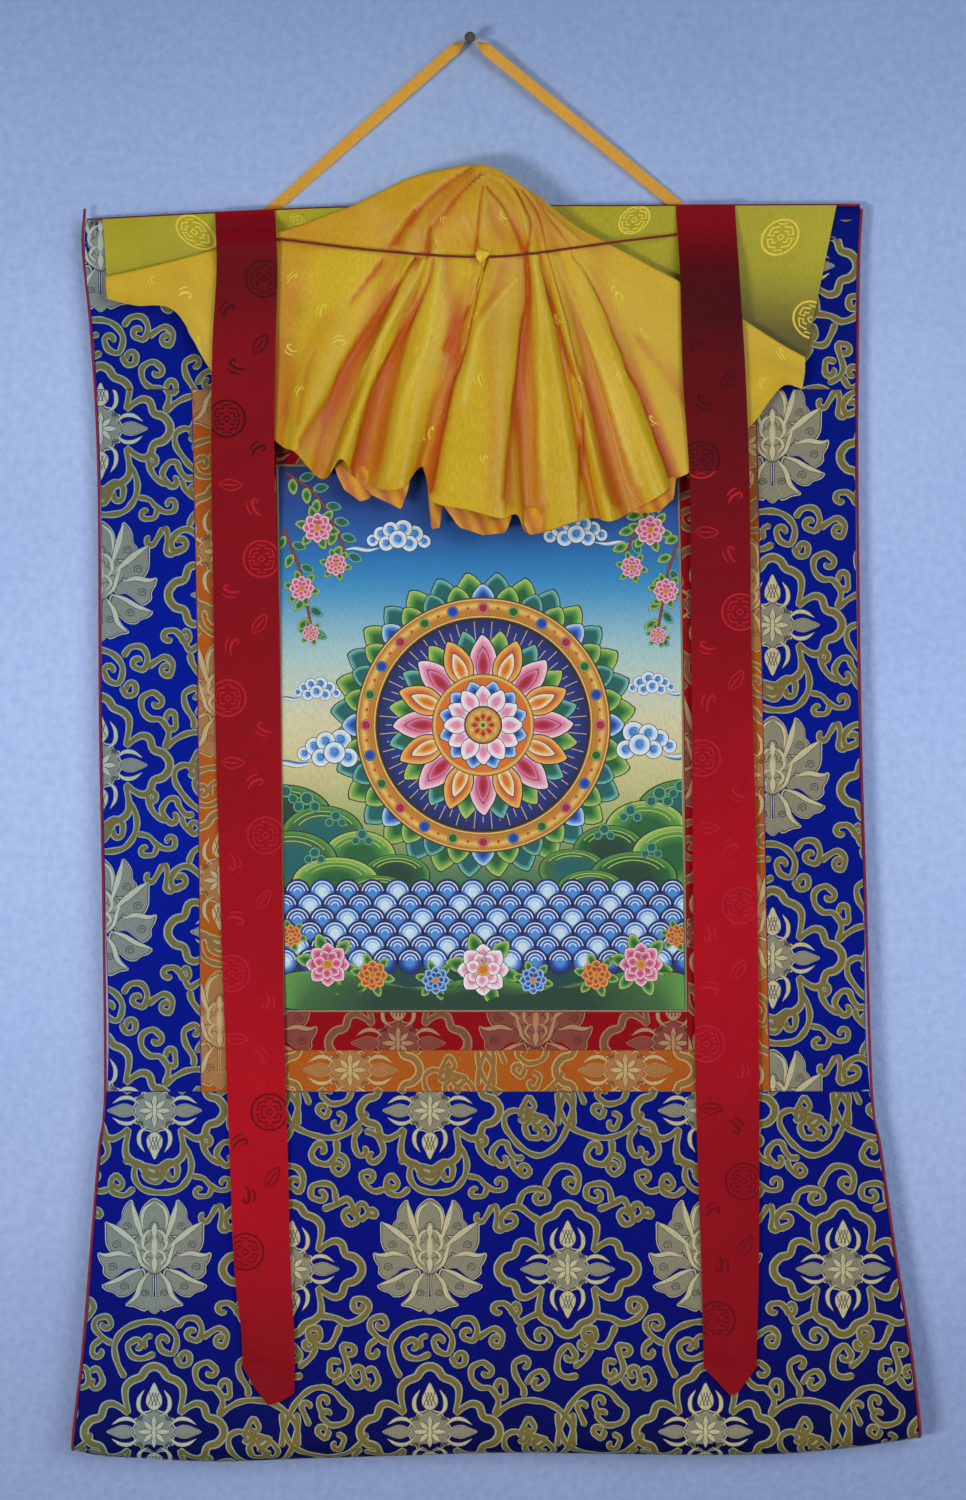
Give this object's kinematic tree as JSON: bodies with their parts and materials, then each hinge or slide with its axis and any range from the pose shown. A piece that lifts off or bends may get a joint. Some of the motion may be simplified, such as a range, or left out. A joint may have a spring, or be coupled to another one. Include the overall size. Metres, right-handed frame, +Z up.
{
  "type": "thangka hanging scroll on a wall nail",
  "caption": "Painted canvas in brocade borders with a rolled bottom hem, red ribbons and a gathered yellow veil, hanging by a tape from a nail.",
  "frame": {"origin": "the middle of the nail's end, where it enters the wall", "axes": "+Z up along the hanging, +Y into the wall, the front faces -Y, +X to the right seen from the front"},
  "size_m": [0.647, 0.0588, 1.0856],
  "materials": {
    "painted_canvas": "matt painted cotton canvas",
    "beige_cord": "fine twisted cord, stitched on",
    "red_brocade": "satin-faced silk brocade with gold-coloured scrolls",
    "orange_brocade": "satin-faced silk brocade with gold-coloured scrolls",
    "blue_brocade": "satin-faced silk brocade with lotus scrolls in gold and silver-coloured thread",
    "dark_red_piping": "covered cord piping",
    "red_damask": "silk damask, tone on tone",
    "yellow_satin": "light damask satin, glossy",
    "dark_red_cord": "twisted cord",
    "yellow_tape": "folded satin tape",
    "nail_steel": "dull dark steel"
  },
  "bodies": {
    "root": {"painting": "painted_canvas", "painting_edging_left": "beige_cord", "painting_edging_right": "beige_cord", "painting_edging_top": "beige_cord", "painting_edging_bottom": "beige_cord", "red_border_left": "red_brocade", "red_border_right": "red_brocade", "red_border_top": "red_brocade", "red_border_bottom": "red_brocade", "orange_border_left": "orange_brocade", "orange_border_right": "orange_brocade", "orange_border_top": "orange_brocade", "orange_border_bottom": "orange_brocade", "brocade_top": "blue_brocade", "brocade_left": "blue_brocade", "brocade_right": "blue_brocade", "brocade_bottom": "blue_brocade", "piping_left": "dark_red_piping", "piping_right": "dark_red_piping", "piping_top": "dark_red_piping", "ribbon_left": "red_damask", "ribbon_right": "red_damask", "veil": "yellow_satin", "veil_cord": "dark_red_cord", "hanging_tape": "yellow_tape", "nail": "nail_steel"}
  },
  "joints": []
}
